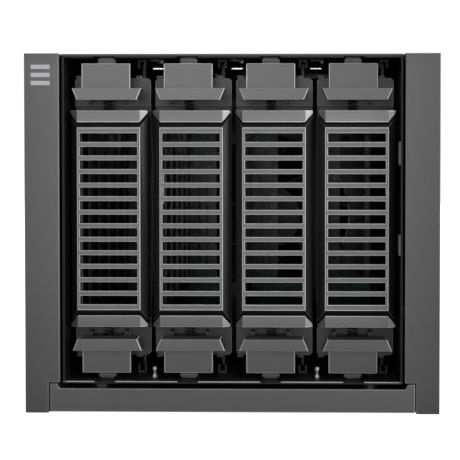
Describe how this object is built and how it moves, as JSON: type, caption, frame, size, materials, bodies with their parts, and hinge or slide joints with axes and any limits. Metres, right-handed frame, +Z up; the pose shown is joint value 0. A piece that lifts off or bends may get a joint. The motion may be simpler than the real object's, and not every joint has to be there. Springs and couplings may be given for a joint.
{
  "type": "nas enclosure",
  "caption": "Upright network storage case with louvred pull-out drive trays held by squeeze latches, a rear fan and rear ports.",
  "frame": {"origin": "centre of the case's footprint, on the surface it stands on", "axes": "front towards -Y, trays side by side along X, +Z up"},
  "size_m": [0.16, 0.23, 0.139],
  "materials": {
    "panel_paint": "satin dark grey with a fine texture",
    "badge_metal": "satin",
    "cover_paint": "matt black powder coat",
    "pan_plastic": "fine moulded texture",
    "cage_steel": "black coated sheet",
    "guide_plastic": "moulded",
    "bright_steel": "bright plated",
    "foot_rubber": "matt",
    "board_green": "solder mask",
    "connector_black": "moulded",
    "sink_aluminium": "anodised",
    "fan_plastic": "moulded",
    "button_plastic": "satin",
    "tray_plastic": "fine moulded texture",
    "latch_plastic": "fine moulded texture"
  },
  "bodies": {
    "chassis": {"backplane_board": "board_green", "backplane_brackets": "cage_steel", "base_pan": "pan_plastic", "base_screws": "bright_steel", "bay_springs": "bright_steel", "board_standoffs": "bright_steel", "cage_roof": "cage_steel", "chassis_tub": "cage_steel", "controller_board": "board_green", "cover_screws": "bright_steel", "dc_jack": "connector_black", "drive_sockets": "connector_black", "fan_frame": "fan_plastic", "fan_guard": "bright_steel", "fan_screws": "bright_steel", "feet": "foot_rubber", "floor_studs": "bright_steel", "guide_rails_lower": "guide_plastic", "guide_rails_upper": "guide_plastic", "heat_sink": "sink_aluminium", "lan_port": "bright_steel", "left_side_panel": "panel_paint", "link_connector": "connector_black", "panel_screws": "bright_steel", "pillar_badge": "badge_metal", "power_switch": "connector_black", "rear_panel": "cover_paint", "right_side_panel": "panel_paint", "top_cover": "cover_paint", "usb_ports": "bright_steel"},
    "tray_1": {"tray_carrier_1": "tray_plastic", "tray_grille_1": "tray_plastic", "drive_pins_1": "bright_steel", "latch_spring_upper_1": "bright_steel", "latch_spring_lower_1": "bright_steel"},
    "upper_latch_1": {"latch_upper_1": "latch_plastic"},
    "lower_latch_1": {"latch_lower_1": "latch_plastic"},
    "tray_2": {"tray_carrier_2": "tray_plastic", "tray_grille_2": "tray_plastic", "drive_pins_2": "bright_steel", "latch_spring_upper_2": "bright_steel", "latch_spring_lower_2": "bright_steel"},
    "upper_latch_2": {"latch_upper_2": "latch_plastic"},
    "lower_latch_2": {"latch_lower_2": "latch_plastic"},
    "tray_3": {"tray_carrier_3": "tray_plastic", "tray_grille_3": "tray_plastic", "drive_pins_3": "bright_steel", "latch_spring_upper_3": "bright_steel", "latch_spring_lower_3": "bright_steel"},
    "upper_latch_3": {"latch_upper_3": "latch_plastic"},
    "lower_latch_3": {"latch_lower_3": "latch_plastic"},
    "tray_4": {"tray_carrier_4": "tray_plastic", "tray_grille_4": "tray_plastic", "drive_pins_4": "bright_steel", "latch_spring_upper_4": "bright_steel", "latch_spring_lower_4": "bright_steel"},
    "upper_latch_4": {"latch_upper_4": "latch_plastic"},
    "lower_latch_4": {"latch_lower_4": "latch_plastic"},
    "fan_rotor": {"fan_rotor": "fan_plastic"},
    "power_button": {"power_button": "button_plastic"}
  },
  "joints": [
    {"name": "tray_slide_1", "type": "slide", "parent": "chassis", "child": "tray_1", "axis": [0, -1, 0], "range_m": [0, 0.15]},
    {"name": "upper_latch_press_1", "type": "slide", "parent": "tray_1", "child": "upper_latch_1", "axis": [0, 0, -1], "range_m": [0, 0.003], "stiffness_N_per_m": 400, "springref_m": -0.004, "deforming": ["latch_spring_upper_1"]},
    {"name": "lower_latch_press_1", "type": "slide", "parent": "tray_1", "child": "lower_latch_1", "axis": [0, 0, 1], "range_m": [0, 0.003], "stiffness_N_per_m": 400, "springref_m": -0.004, "deforming": ["latch_spring_lower_1"]},
    {"name": "tray_slide_2", "type": "slide", "parent": "chassis", "child": "tray_2", "axis": [0, -1, 0], "range_m": [0, 0.15]},
    {"name": "upper_latch_press_2", "type": "slide", "parent": "tray_2", "child": "upper_latch_2", "axis": [0, 0, -1], "range_m": [0, 0.003], "stiffness_N_per_m": 400, "springref_m": -0.004, "deforming": ["latch_spring_upper_2"]},
    {"name": "lower_latch_press_2", "type": "slide", "parent": "tray_2", "child": "lower_latch_2", "axis": [0, 0, 1], "range_m": [0, 0.003], "stiffness_N_per_m": 400, "springref_m": -0.004, "deforming": ["latch_spring_lower_2"]},
    {"name": "tray_slide_3", "type": "slide", "parent": "chassis", "child": "tray_3", "axis": [0, -1, 0], "range_m": [0, 0.15]},
    {"name": "upper_latch_press_3", "type": "slide", "parent": "tray_3", "child": "upper_latch_3", "axis": [0, 0, -1], "range_m": [0, 0.003], "stiffness_N_per_m": 400, "springref_m": -0.004, "deforming": ["latch_spring_upper_3"]},
    {"name": "lower_latch_press_3", "type": "slide", "parent": "tray_3", "child": "lower_latch_3", "axis": [0, 0, 1], "range_m": [0, 0.003], "stiffness_N_per_m": 400, "springref_m": -0.004, "deforming": ["latch_spring_lower_3"]},
    {"name": "tray_slide_4", "type": "slide", "parent": "chassis", "child": "tray_4", "axis": [0, -1, 0], "range_m": [0, 0.15]},
    {"name": "upper_latch_press_4", "type": "slide", "parent": "tray_4", "child": "upper_latch_4", "axis": [0, 0, -1], "range_m": [0, 0.003], "stiffness_N_per_m": 400, "springref_m": -0.004, "deforming": ["latch_spring_upper_4"]},
    {"name": "lower_latch_press_4", "type": "slide", "parent": "tray_4", "child": "lower_latch_4", "axis": [0, 0, 1], "range_m": [0, 0.003], "stiffness_N_per_m": 400, "springref_m": -0.004, "deforming": ["latch_spring_lower_4"]},
    {"name": "fan_spin", "type": "hinge", "parent": "chassis", "child": "fan_rotor", "pos_m": [0.0107, 0.0975, 0.0637], "axis": [0, 1, 0], "continuous": true},
    {"name": "power_press", "type": "slide", "parent": "chassis", "child": "power_button", "axis": [0, -1, 0], "range_m": [0, 0.0015], "stiffness_N_per_m": 400, "springref_m": -0.002}
  ]
}
